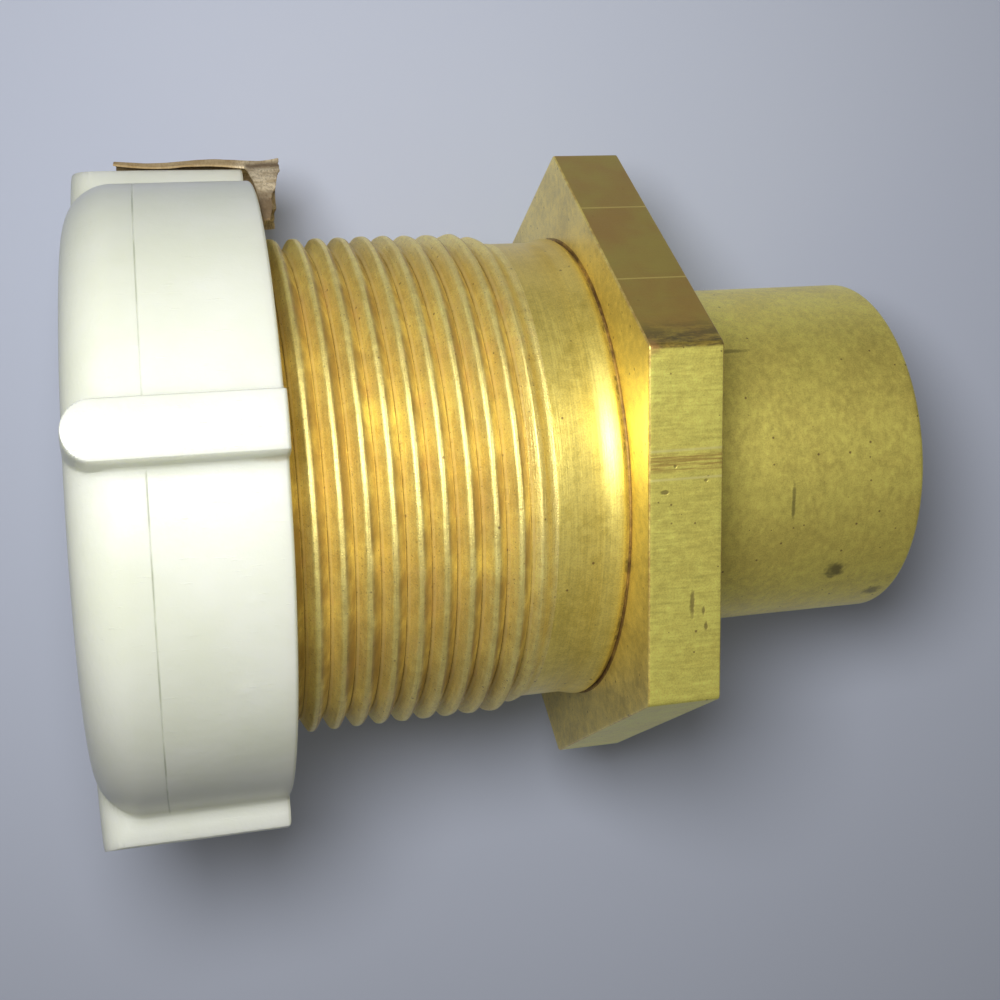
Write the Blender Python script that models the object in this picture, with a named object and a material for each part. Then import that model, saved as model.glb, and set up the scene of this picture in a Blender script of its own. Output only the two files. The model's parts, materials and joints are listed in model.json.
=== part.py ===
"""A brass thru-hull drain fitting on its side, with its plastic slip nut, sealing washer and a scrap of tape.

The fitting is modelled along X: the hexagon's left face is at x = 0, the threaded barrel and the nut are on
the -X side and the plain spigot on the +X side. An empty then lays it down the way it rests, on a rib of the
nut and an edge of the hexagon. Angles round the axis are counted from +Z towards +Y. Run it with
blender --background --python part.py, or from Blender's text editor.
"""

import math

import bmesh
import bpy
from mathutils import Vector

MM = 0.001

# Barrel and its thread: 1-1/2 inch straight pipe thread, 11.5 turns to the inch, right-handed.
THREAD_PITCH = 25.4 * MM / 11.5
THREAD_RADIUS = 24.13 * MM
THREAD_DEPTH = 1.55 * MM
CREST_WIDTH = 0.42 * MM
CREST_AT = -7.92 * MM  # one crest's place on the line straight above the axis
BARREL_LENGTH = 41.5 * MM
RUNOUT = 3.0 * MM
MOUTH_DROP = 0.28 * MM  # the bevel at the barrel's mouth ends this far below the thread's roots

# Plain shank between the thread and the hexagon, with a low collar and an undercut at the hexagon's face.
SHANK_LENGTH = 6.6 * MM
SHANK_STEP = 1.1 * MM  # below the thread's crests
COLLAR_RISE = 0.35 * MM
COLLAR_LENGTH = 2.6 * MM
UNDERCUT_WIDTH = 0.4 * MM
UNDERCUT_DEPTH = 0.28 * MM
FACE_RELIEF = 0.25 * MM  # how far the undercut reaches into the face and out past the collar

# Bores: the tube from inside enters the barrel, and the spigot's bore carries on.
BARREL_WALL = 2.28 * MM  # under the thread's roots
SEAT_LAND = 0.7 * MM  # what the tapered seat leaves of the barrel's mouth
SEAT_LENGTH = 4.0 * MM
SPIGOT_WALL = 1.75 * MM
BARREL_BORE_END = -0.5 * MM
STEP_WALL = 2.65 * MM  # from the narrow end of the step between the bores to the hexagon's right face

# Hexagon and spigot.
HEX_OVERHANG = 3.335 * MM  # the hexagon's flats beyond the thread's crests
HEX_THICKNESS = 6.75 * MM
HEX_EDGE = 0.35 * MM
SPIGOT_RADIUS = 17.45 * MM
SPIGOT_LENGTH = 25.65 * MM
SPIGOT_EDGE = 0.5 * MM

# Slip nut: a ring with an inner lip, an inner thread and four wing ribs.
THREAD_CLEARANCE = 0.65 * MM  # radial, which leaves 0.3 mm between the flanks
NUT_CREST_WIDTH = 0.3 * MM
NUT_WALL = 4.92 * MM  # outside the nut thread's roots
NUT_LENGTH = 17.2 * MM
NUT_SHOULDER = 4.5 * MM
NUT_LIP = 3.2 * MM
NUT_RELIEF = 0.12 * MM  # beyond the nut thread's roots
NUT_RIM_EDGE = 0.3 * MM
NUT_MOUTH_CHAMFER = 0.5 * MM
RIBS = 4
RIB_ANGLE = math.radians(21.9)
RIB_WIDTH = 5.2 * MM
RIB_HEIGHT = 2.9 * MM
RIB_EDGE = 0.5 * MM
RIB_ROOT = 1.5 * MM  # how deep a rib's block reaches into the nut's wall

# Tapered slip-joint washer, between the nut's lip and the barrel's mouth.
WASHER_WALL = 1.0 * MM  # its bore is this much smaller than the barrel's
WASHER_FLANGE = 2.0 * MM
WASHER_OVERLAP = 0.1 * MM  # its flange beyond the barrel's mouth
WASHER_EDGE = 0.3 * MM
SEAT_CLEARANCE = 0.36 * MM
NOSE_SHORT = 0.1 * MM  # its nose ends this far before the seat does

# Scrap of tape across one rib, with a torn tail past the nut's rim.
TAPE_RIB = 1  # ribs are counted from RIB_ANGLE upwards
TAPE_THICKNESS = 0.35 * MM
TAPE_INSET = 4.9 * MM  # from the nut's closed end
TAPE_OVERHANG = 2.9 * MM
TAPE_SPREAD = 5.0 * MM  # how far it runs down onto the nut behind the rib
TAPE_TAIL = math.radians(42)
TAPE_TAIL_DROP = 5.0 * MM
TAPE_TAIL_TIP = 0.6 * MM

GAP = 0.3 * MM
COLUMNS = 48
MERGE = 1e-6

# What fits follows from the sizes above.
THREAD_ROOT = THREAD_RADIUS - THREAD_DEPTH
MOUTH_X = -BARREL_LENGTH
MOUTH_RADIUS = THREAD_ROOT - MOUTH_DROP
SHANK_RADIUS = THREAD_RADIUS - SHANK_STEP
COLLAR_RADIUS = SHANK_RADIUS + COLLAR_RISE
BARREL_BORE = THREAD_ROOT - BARREL_WALL
SEAT_RADIUS = MOUTH_RADIUS - SEAT_LAND
SPIGOT_BORE = SPIGOT_RADIUS - SPIGOT_WALL
HEX_FLATS = 2 * (THREAD_RADIUS + HEX_OVERHANG)
WASHER_BORE = BARREL_BORE - WASHER_WALL
WASHER_RADIUS = MOUTH_RADIUS + WASHER_OVERLAP
WASHER_END = MOUTH_X - GAP - WASHER_FLANGE
LIP_X = WASHER_END - GAP
NUT_LEFT = LIP_X - NUT_LIP
NUT_RIM_X = NUT_LEFT + NUT_LENGTH
NUT_ROOT = THREAD_RADIUS + THREAD_CLEARANCE
NUT_RADIUS = NUT_ROOT + NUT_WALL
NUT_OPENING = WASHER_BORE + GAP
RIB_RADIUS = NUT_RADIUS + RIB_HEIGHT


def material(name, colour, roughness, metallic):
    finish = bpy.data.materials.new(name)
    finish.use_nodes = True
    shader = finish.node_tree.nodes["Principled BSDF"]
    shader.inputs["Base Color"].default_value = (*colour, 1.0)
    shader.inputs["Roughness"].default_value = roughness
    shader.inputs["Metallic"].default_value = metallic
    finish.diffuse_color = (*colour, 1.0)
    return finish


def place(shape, name, finish=None):
    """Turn a bmesh into a smooth-shaded object with its faces pointing out."""
    bmesh.ops.recalc_face_normals(shape, faces=shape.faces)
    mesh = bpy.data.meshes.new(name)
    shape.to_mesh(mesh)
    shape.free()
    mesh.shade_smooth()
    mesh.set_sharp_from_angle(angle=math.radians(25))
    if finish:
        mesh.materials.append(finish)
    piece = bpy.data.objects.new(name, mesh)
    bpy.context.scene.collection.objects.link(piece)
    return piece


def around(x, radius, angle):
    return Vector((x, radius * math.sin(angle), radius * math.cos(angle)))


def ring(section):
    """Skin a closed wall section that is swept round the axis. section(turn) gives its (x, radius) points."""
    shape = bmesh.new()
    rows = []
    for i in range(COLUMNS + 1):
        turn = i / COLUMNS
        rows.append([shape.verts.new(around(x, r, math.tau * turn)) for x, r in section(turn)])
    for here, there in zip(rows, rows[1:]):
        for j, corner in enumerate(here):
            k = (j + 1) % len(here)
            shape.faces.new((corner, there[j], there[k], here[k]))
    # The last row repeats the first, one thread turn along, and points past a thread's ends coincide.
    bmesh.ops.remove_doubles(shape, verts=shape.verts, dist=MERGE)
    return shape


def thread(turn, start, end, crest_radius, root_radius, crest_width, trim):
    """(x, radius) points along a right-hand thread at one angle; trim(x, radius) shapes its two ends."""
    half = crest_width / 2
    root = THREAD_PITCH / 2
    first = math.floor((start - CREST_AT) / THREAD_PITCH) - 1
    last = math.ceil((end - CREST_AT) / THREAD_PITCH) + 2
    points = []
    for count in range(first, last):
        crest = CREST_AT + (count - turn) * THREAD_PITCH
        for offset, radius in ((-half, crest_radius), (half, crest_radius), (root, root_radius)):
            x = min(max(crest + offset, start), end)
            points.append((x, trim(x, radius)))
    return points


def hex_radius(turn):
    sector = math.tau / 6
    return HEX_FLATS / 2 / math.cos((math.tau * turn + sector / 2) % sector - sector / 2)


def rounded(centre_x, centre_r, radius, from_angle, to_angle, steps):
    """Points of an arc in the (x, radius) plane, with angles in degrees from +X towards larger radii."""
    angles = [math.radians(from_angle + (to_angle - from_angle) * i / steps) for i in range(steps + 1)]
    return [(centre_x + radius * math.cos(a), centre_r + radius * math.sin(a)) for a in angles]


def body_section(turn):
    thread_end = -SHANK_LENGTH

    def trim(x, radius):
        radius = min(radius, MOUTH_RADIUS + x - MOUTH_X)
        full = min(1.0, (thread_end - x) / RUNOUT)
        return SHANK_RADIUS + (radius - SHANK_RADIUS) * full

    points = [(MOUTH_X, MOUTH_RADIUS)]
    points += thread(turn, MOUTH_X, thread_end, THREAD_RADIUS, THREAD_ROOT, CREST_WIDTH, trim)
    points.append((thread_end, SHANK_RADIUS))

    # The shank swells into a low collar, and an undercut in both walls parts it from the hexagon's face.
    collar_end = -UNDERCUT_WIDTH
    points.append((collar_end - COLLAR_LENGTH, SHANK_RADIUS))
    points.append((collar_end - COLLAR_LENGTH / 2, SHANK_RADIUS + COLLAR_RISE / 3))
    points.append((collar_end - COLLAR_LENGTH / 6, COLLAR_RADIUS))
    points.append((collar_end, COLLAR_RADIUS - COLLAR_RISE / 2))
    points.append((collar_end, SHANK_RADIUS - UNDERCUT_DEPTH))
    points.append((FACE_RELIEF, SHANK_RADIUS - UNDERCUT_DEPTH))
    points.append((FACE_RELIEF, COLLAR_RADIUS + FACE_RELIEF))
    points.append((0.0, COLLAR_RADIUS + FACE_RELIEF))

    corner = hex_radius(turn)
    points.append((0.0, corner - HEX_EDGE))
    points.append((HEX_EDGE, corner))
    points.append((HEX_THICKNESS - HEX_EDGE, corner))
    points.append((HEX_THICKNESS, corner - HEX_EDGE))

    tip = HEX_THICKNESS + SPIGOT_LENGTH
    points.append((HEX_THICKNESS, SPIGOT_RADIUS))
    points.append((tip - SPIGOT_EDGE, SPIGOT_RADIUS))
    points.append((tip, SPIGOT_RADIUS - SPIGOT_EDGE))
    points.append((tip, SPIGOT_BORE))

    points.append((HEX_THICKNESS - STEP_WALL, SPIGOT_BORE))
    points.append((BARREL_BORE_END, BARREL_BORE))
    points.append((MOUTH_X + SEAT_LENGTH, BARREL_BORE))
    points.append((MOUTH_X, SEAT_RADIUS))
    return points


def nut_section(turn):
    thread_start = MOUTH_X + GAP
    relief = NUT_ROOT + NUT_RELIEF
    crest = THREAD_ROOT + THREAD_CLEARANCE
    mouth = NUT_ROOT + NUT_MOUTH_CHAMFER

    def trim(x, radius):
        # Both ends of the thread open out, into the relief and into the mouth's chamfer.
        return max(radius, mouth - (NUT_RIM_X - x), relief - (x - thread_start))

    # The nut's ridges lie in the barrel's grooves, half a pitch along from the barrel's crests.
    bore = thread(turn + 0.5, thread_start, NUT_RIM_X, crest, NUT_ROOT, NUT_CREST_WIDTH, trim)
    points = rounded(NUT_LEFT + NUT_SHOULDER, NUT_RADIUS - NUT_SHOULDER, NUT_SHOULDER, 180, 90, 6)
    points.append((NUT_RIM_X - NUT_RIM_EDGE, NUT_RADIUS))
    points.append((NUT_RIM_X, NUT_RADIUS - NUT_RIM_EDGE))
    points.append((NUT_RIM_X, mouth))
    points += reversed(bore)
    points.append((thread_start, relief))
    points.append((LIP_X, relief))
    points.append((LIP_X, NUT_OPENING))
    points.append((NUT_LEFT, NUT_OPENING))
    return points


def washer_section(turn):
    flange_end = MOUTH_X - GAP
    nose_end = MOUTH_X + SEAT_LENGTH - NOSE_SHORT
    nose_radius = SEAT_RADIUS - SEAT_CLEARANCE
    slope = (SEAT_RADIUS - BARREL_BORE) / SEAT_LENGTH
    return [
        (WASHER_END, WASHER_BORE),
        (WASHER_END, WASHER_RADIUS - WASHER_EDGE),
        (WASHER_END + WASHER_EDGE, WASHER_RADIUS),
        (flange_end, WASHER_RADIUS),
        (flange_end, nose_radius),
        (nose_end, nose_radius - slope * (nose_end - flange_end)),
        (nose_end, WASHER_BORE),
    ]


def rib_angle(number):
    return RIB_ANGLE + math.tau * number / RIBS


def rib_block(number):
    """One wing rib: a bar along X, rounded in plan at the nut's closed end, with its top edge bevelled."""
    half = RIB_WIDTH / 2
    steps = 8
    outline = [(NUT_RIM_X, half), (NUT_RIM_X, -half)]
    for i in range(steps + 1):
        a = math.pi * (1.5 - i / steps)
        outline.append((NUT_LEFT + half + half * math.cos(a), half * math.sin(a)))
    angle = rib_angle(number)
    across = Vector((0.0, math.cos(angle), -math.sin(angle)))
    shape = bmesh.new()
    levels = []
    for radius, inset in ((NUT_RADIUS - RIB_ROOT, 0.0), (RIB_RADIUS - RIB_EDGE, 0.0), (RIB_RADIUS, RIB_EDGE)):
        level = []
        for x, side in outline:
            inward = inset if x < NUT_LEFT + half else 0.0
            middle = around(x + inward, radius, angle)
            level.append(shape.verts.new(middle + across * side * (1.0 - inset / half)))
        levels.append(level)
    shape.faces.new(levels[0])
    shape.faces.new(list(reversed(levels[-1])))
    for lower, upper in zip(levels, levels[1:]):
        for j, corner in enumerate(lower):
            k = (j + 1) % len(lower)
            shape.faces.new((corner, lower[k], upper[k], upper[j]))
    return shape


def tape_stations():
    """The tape's (angle from the rib's middle, radius, x of both edges), from the tail's tip backwards."""
    rim = NUT_RIM_X + GAP
    end = NUT_RIM_X + TAPE_OVERHANG
    on_rib = RIB_RADIUS + GAP
    half = RIB_WIDTH / 2
    shoulder = math.atan2(half, on_rib)
    stations = []
    # The tail hangs free past the rim, from the rib's near side down towards the tip.
    for share in (1.0, 0.7, 0.4, 0.1):
        angle = -shoulder - (TAPE_TAIL - shoulder) * share
        width = TAPE_OVERHANG - GAP + (TAPE_TAIL_TIP - TAPE_OVERHANG + GAP) * share
        stations.append((angle, on_rib - TAPE_TAIL_DROP * math.sqrt(share), rim, rim + width))

    start = NUT_LEFT + TAPE_INSET
    bevel_top = half - RIB_EDGE
    low = on_rib - RIB_EDGE
    for side, height in ((-half, low), (-bevel_top, on_rib), (bevel_top, on_rib), (half + GAP, low)):
        stations.append((math.atan2(side, height), math.hypot(side, height), start, end))
    foot = half + 1.0 * MM
    for side in (foot, (foot + half + TAPE_SPREAD) / 2, half + TAPE_SPREAD):
        stations.append((math.asin(side / (NUT_RADIUS + GAP)), NUT_RADIUS + GAP, start, end))
    return stations


def tape_strip():
    middle = rib_angle(TAPE_RIB)
    shape = bmesh.new()
    rows = []
    for angle, radius, near, far in tape_stations():
        outer = radius + TAPE_THICKNESS
        section = ((near, radius), (far, radius), (far, outer), (near, outer))
        rows.append([shape.verts.new(around(x, r, middle + angle)) for x, r in section])
    shape.faces.new(rows[0])
    shape.faces.new(list(reversed(rows[-1])))
    for here, there in zip(rows, rows[1:]):
        for j, corner in enumerate(here):
            k = (j + 1) % len(here)
            shape.faces.new((corner, there[j], there[k], here[k]))
    return shape


def world_points(piece):
    graph = bpy.context.evaluated_depsgraph_get()
    evaluated = piece.evaluated_get(graph)
    mesh = evaluated.to_mesh()
    points = [evaluated.matrix_world @ vert.co for vert in mesh.vertices]
    evaluated.to_mesh_clear()
    return points


def resting_tilt(nut_points, body_points):
    """The angle about Y at which the nut and the body reach the same lowest level."""

    def lowest(points, tilt):
        return min(p.z * math.cos(tilt) - p.x * math.sin(tilt) for p in points)

    low, high = 0.0, math.radians(25)
    for _ in range(50):
        middle = (low + high) / 2
        if lowest(nut_points, middle) < lowest(body_points, middle):
            low = middle
        else:
            high = middle
    return low


for old in list(bpy.data.objects):
    bpy.data.objects.remove(old, do_unlink=True)

brass = material("brass", (0.62, 0.47, 0.14), 0.32, 1.0)
white_plastic = material("white_plastic", (0.88, 0.89, 0.84), 0.42, 0.0)
washer_plastic = material("washer_plastic", (0.80, 0.81, 0.76), 0.5, 0.0)
masking_tape = material("masking_tape", (0.62, 0.50, 0.30), 0.85, 0.0)

fitting_axis = bpy.data.objects.new("fitting_axis", None)
bpy.context.scene.collection.objects.link(fitting_axis)

body = place(ring(body_section), "fitting_body", brass)
washer = place(ring(washer_section), "slip_washer", washer_plastic)
nut = place(ring(nut_section), "slip_nut", white_plastic)
for number in range(RIBS):
    rib = place(rib_block(number), f"rib_block_{number + 1}", white_plastic)
    rib.hide_render = True
    rib.display_type = "WIRE"
    rib.parent = fitting_axis
    joined = nut.modifiers.new(rib.name, "BOOLEAN")
    joined.operation = "UNION"
    joined.object = rib
tape = place(tape_strip(), "tape_remnant", masking_tape)

pieces = (body, washer, nut, tape)
for piece in pieces:
    piece.parent = fitting_axis

bpy.context.view_layer.update()
fitting_axis.rotation_euler.y = resting_tilt(world_points(nut), world_points(body))
bpy.context.view_layer.update()
corners = [point for piece in pieces for point in world_points(piece)]
lows = [min(point[axis] for point in corners) for axis in range(3)]
highs = [max(point[axis] for point in corners) for axis in range(3)]
fitting_axis.location = (-(lows[0] + highs[0]) / 2, -(lows[1] + highs[1]) / 2, -lows[2])
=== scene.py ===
"""Looks of the thru-hull fitting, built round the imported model.

Every shape here is worked out in millimetres in the fitting's own frame: X runs along its axis,
x = 0 is the hexagon's left face, and angles round the axis are counted from +Z towards +Y. LYING
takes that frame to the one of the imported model, where the fitting lies on its side.
"""
import json
import math
import random

import bmesh
import bpy
import numpy as np
from mathutils import Matrix, Vector


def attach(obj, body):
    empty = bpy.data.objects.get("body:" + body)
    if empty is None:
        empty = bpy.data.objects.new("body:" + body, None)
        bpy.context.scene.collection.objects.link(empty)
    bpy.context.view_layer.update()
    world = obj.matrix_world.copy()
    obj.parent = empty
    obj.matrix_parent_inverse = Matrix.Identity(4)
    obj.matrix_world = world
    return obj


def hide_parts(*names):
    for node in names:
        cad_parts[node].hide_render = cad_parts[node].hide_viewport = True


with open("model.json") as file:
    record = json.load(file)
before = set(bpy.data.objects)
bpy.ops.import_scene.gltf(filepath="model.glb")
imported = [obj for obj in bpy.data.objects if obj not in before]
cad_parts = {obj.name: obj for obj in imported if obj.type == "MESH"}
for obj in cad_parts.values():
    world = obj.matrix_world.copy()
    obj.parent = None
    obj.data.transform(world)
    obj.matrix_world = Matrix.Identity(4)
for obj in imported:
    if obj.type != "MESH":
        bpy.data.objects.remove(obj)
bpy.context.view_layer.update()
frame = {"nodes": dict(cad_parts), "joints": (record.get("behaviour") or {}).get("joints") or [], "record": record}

MM = 0.001
JOINTS = {joint["name"]: joint for joint in frame["joints"]}
MOUNTS = {mount["name"]: mount for mount in frame["record"]["mounts"]}


def fitting_frame():
    """The fitting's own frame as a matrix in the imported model's, in metres."""
    axis = Vector(JOINTS["nut_turn"]["axis"]).normalized()
    centre = Vector(JOINTS["nut_turn"]["pos_m"])
    face = Vector(MOUNTS["hull_face"]["pos_m"])
    origin = centre + axis * (face - centre).dot(axis)
    side = Vector((0.0, 1.0, 0.0))
    matrix = Matrix((axis, side, axis.cross(side))).transposed().to_4x4()
    matrix.translation = origin
    return matrix


LYING = fitting_frame()


def local_points(node):
    """A CAD node's vertices as (x, radius) in millimetres in the fitting's frame."""
    back = np.array(LYING.inverted())
    points = np.array([vert.co for vert in frame["nodes"][node].data.vertices])
    points = (points @ back[:3, :3].T + back[:3, 3]) / MM
    return points[:, 0], np.hypot(points[:, 1], points[:, 2])


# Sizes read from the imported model.
body_x, body_r = local_points("fitting_body")
nut_x, nut_r = local_points("slip_nut")
washer_x, washer_r = local_points("slip_washer")
MOUTH_X = body_x.min()
TIP_X = body_x.max()
THREAD_RADIUS = body_r[body_x < -10.0].max()
SPIGOT_RADIUS = body_r[body_x > 12.0].max()
SPIGOT_BORE = body_r[body_x > 12.0].min()
BARREL_BORE = body_r[body_x < -10.0].min()
SEAT_RADIUS = body_r[body_x < MOUTH_X + 0.01].min()
MOUTH_RADIUS = body_r[body_x < MOUTH_X + 0.01].max()
NUT_LEFT = nut_x.min()
NUT_RIM = nut_x.max()
NUT_OPENING = nut_r.min()
RIB_RADIUS = nut_r.max()

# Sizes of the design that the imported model's points don't give by themselves.
PITCH = 25.4 / 11.5
THREAD_DEPTH = 1.55
CREST_WIDTH = 0.42
CREST_AT = -7.92
CREST_SOFTNESS = 0.30
ROOT_SOFTNESS = 0.22
THREAD_END = -6.6
RUNOUT = 3.0
BURR = 0.035
SHANK_RADIUS = THREAD_RADIUS - 1.1
COLLAR_RISE = 0.35
COLLAR_LENGTH = 2.6
UNDERCUT = 0.16
UNDERCUT_DEPTH = 0.14
FACE_RELIEF = 0.06
BORE_END = -0.5
BORE_STEP = 4.6
SEAT_LENGTH = 4.0
APOTHEM = THREAD_RADIUS + 3.335
HEX_THICKNESS = 6.75
CORNER_SOFTNESS = 0.3
HEX_EDGE = 0.16
SPIGOT_FILLET = 0.25
SPIGOT_LIP = 0.5
NUT_RADIUS = THREAD_RADIUS + 5.57
NUT_CLEARANCE = 0.65
NUT_CREST_WIDTH = 0.3
NUT_SHOULDER = 4.5
NUT_LIP = 3.2
NUT_RELIEF = 0.12
NUT_RELIEF_LENGTH = 2.9
NUT_CHAMFER = 0.5
NUT_EDGE = 0.3
PARTING_X = -40.95
PARTING_DEPTH = 0.05
BLISTERS = ((-33.4, -4.0), (-34.4, -20.0))
BLISTER_RISE = 0.09
RIBS = 4
RIB_ANGLE = math.radians(21.9)
RIB_WIDTH = 5.2
RIB_CROWN = 0.6
RIB_GAP = 0.3
TAPE_ANGLE = RIB_ANGLE + math.tau / RIBS
TAPE_INSET = 4.9
TAPE_OVERHANG = 3.8
TAPE_SPREAD = 5.0
TAPE_TAIL = math.radians(42)
TAPE_TAIL_DROP = 5.0
TAPE_TAIL_TIP = 0.6
TAPE_THICKNESS = 0.2
WASHER_GAP = 0.3
WASHER_EDGE = 0.3
COLUMNS = 360


def smooth_min(a, b, width):
    """The smaller of a and b, rounded off where they are less than width apart."""
    return np.minimum(a, b) - np.maximum(width - np.abs(a - b), 0.0) ** 2 / (4 * width)


def smooth_max(a, b, width):
    return -smooth_min(-np.asarray(a), -np.asarray(b), width)


def smooth_step(low, high, value):
    share = np.clip((value - low) / (high - low), 0.0, 1.0)
    return share * share * (3 - 2 * share)


def waves(x, angle, seed, count=14):
    """A smooth random field of about unit size, the same at angle and at angle + a full turn."""
    rng = random.Random(seed)
    total = np.zeros(np.broadcast(x, angle).shape)
    for _ in range(count):
        along = rng.uniform(-1.6, 1.6)
        around = rng.randint(-14, 14)
        total = total + np.sin(along * x + around * angle + rng.uniform(0, math.tau))
    return total / math.sqrt(count)


class Profile:
    """A closed wall section swept round the axis. Each stretch has x and radius for every column.

    turns are the columns' angles in full turns, from 0 to 1, and a point's zone names its finish.
    """

    def __init__(self, turns):
        self.turns = turns[:, None]
        self.angle = self.turns * math.tau
        self.x = []
        self.r = []
        self.zones = []

    def add(self, x, r, zone):
        """x and r are points of the section, the same all round or one row for each column."""
        shape = (len(self.turns), np.shape(np.atleast_1d(x))[-1])
        self.x.append(np.broadcast_to(np.atleast_1d(x), shape))
        self.r.append(np.broadcast_to(np.atleast_1d(r), shape))
        self.zones += [zone] * shape[1]

    def line(self, start, end, steps, zone):
        """Evenly spaced points from start up to end, which the next stretch begins with."""
        share = np.arange(steps) / steps
        x = start[0] + (end[0] - start[0]) * share
        r = start[1] + (np.asarray(end[1]) - start[1]) * share
        self.add(x, r, zone)

    def arc(self, centre_x, centre_r, radius, start, end, steps, zone):
        """Points of an arc from start to end, in degrees from +X towards a larger radius."""
        angles = np.radians(np.linspace(start, end, steps + 1))
        self.add(centre_x + radius * np.cos(angles), centre_r + radius * np.sin(angles), zone)

    def points(self):
        x = np.concatenate(self.x, axis=1)
        r = np.concatenate(self.r, axis=1)
        return x, r


def skin(name, profile, finishes, shift=None):
    """Turn a profile into an object. shift(x, r, angle) gives what to add to the radius."""
    x, r = profile.points()
    angle = np.broadcast_to(profile.angle, x.shape)
    if shift:
        r = r + shift(x, r, angle)
    points = np.stack((x, r * np.sin(angle), r * np.cos(angle)), axis=-1) * MM
    columns, count = x.shape
    index = np.arange(columns * count).reshape(columns, count)
    here, there = index[:-1], index[1:]
    next_here, next_there = np.roll(here, -1, axis=1), np.roll(there, -1, axis=1)
    faces = np.stack((here, there, next_there, next_here), axis=-1).reshape(-1, 4)
    mesh = bpy.data.meshes.new(name)
    mesh.from_pydata(points.reshape(-1, 3).tolist(), [], faces.tolist())
    for finish in finishes.values():
        mesh.materials.append(finish)
    slots = list(finishes)
    zone_slots = [slots.index(zone) for zone in profile.zones]
    mesh.polygons.foreach_set("material_index", np.tile(zone_slots, columns - 1))
    return finish_mesh(name, mesh)


def finish_mesh(name, mesh, sharp=40):
    """Join up, orient and lay down a mesh made in the fitting's frame. sharp is in degrees."""
    shape = bmesh.new()
    shape.from_mesh(mesh)
    bmesh.ops.remove_doubles(shape, verts=shape.verts, dist=1e-6)
    bmesh.ops.recalc_face_normals(shape, faces=shape.faces)
    shape.transform(LYING)
    shape.to_mesh(mesh)
    shape.free()
    mesh.shade_smooth()
    mesh.set_sharp_from_angle(angle=math.radians(sharp))
    piece = bpy.data.objects.new(name, mesh)
    bpy.context.scene.collection.objects.link(piece)
    return piece


def columns_near(middles, offsets):
    """Even columns in turns, with more at the given offsets in radians from the middles."""
    turns = set(round(i / COLUMNS, 6) for i in range(COLUMNS))
    for middle in middles:
        for offset in offsets:
            turns.add(round(((middle + offset) / math.tau) % 1.0, 6))
    return np.array(sorted(turns) + [1.0])


# Thread -------------------------------------------------------------------------------------------

HALF_PITCH = PITCH / 2
FLANK = math.tan(math.radians(60))
NEAR_CREST = 0.48
THREAD_OFFSETS = np.concatenate((
    np.linspace(-HALF_PITCH, -NEAR_CREST, 5, endpoint=False),
    np.linspace(-NEAR_CREST, NEAR_CREST, 10, endpoint=False),
    np.linspace(NEAR_CREST, HALF_PITCH, 3, endpoint=False)))


def thread_form(offset, crest, root, width):
    """Radius at an offset along X from a crest's middle: 60 degrees, worn at crest and root.

    This is an outside thread. Where crest is less than root, as inside a nut, it is root all along.
    """
    flank = crest + FLANK * (width / 2 + 0.06 - np.abs(offset))
    return smooth_max(smooth_min(crest, flank, CREST_SOFTNESS), root, ROOT_SOFTNESS)


def thread_points(turns, start, end, crest, root, width):
    """x, radius and offset from the nearest crest of a right-handed helix, one row per column."""
    first = math.floor((start - CREST_AT) / PITCH) - 1
    last = math.ceil((end - CREST_AT) / PITCH) + 2
    offset = np.tile(THREAD_OFFSETS, last - first)
    crests = np.repeat(CREST_AT + np.arange(first, last) * PITCH, len(THREAD_OFFSETS))
    x = np.clip(crests + offset - turns * PITCH, start, end)
    r = np.broadcast_to(thread_form(offset, crest, root, width), x.shape)
    return x, r, np.broadcast_to(offset, x.shape)


# Brass body ---------------------------------------------------------------------------------------

def hex_radius(angle):
    """Distance from the axis to the hexagon's side, with its six corners slightly worn."""
    sector = math.tau / 6
    near = (angle + sector / 2) % sector - sector / 2
    next_side = sector - np.abs(near)
    return smooth_min(APOTHEM / np.cos(near), APOTHEM / np.cos(next_side), CORNER_SOFTNESS)


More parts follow.
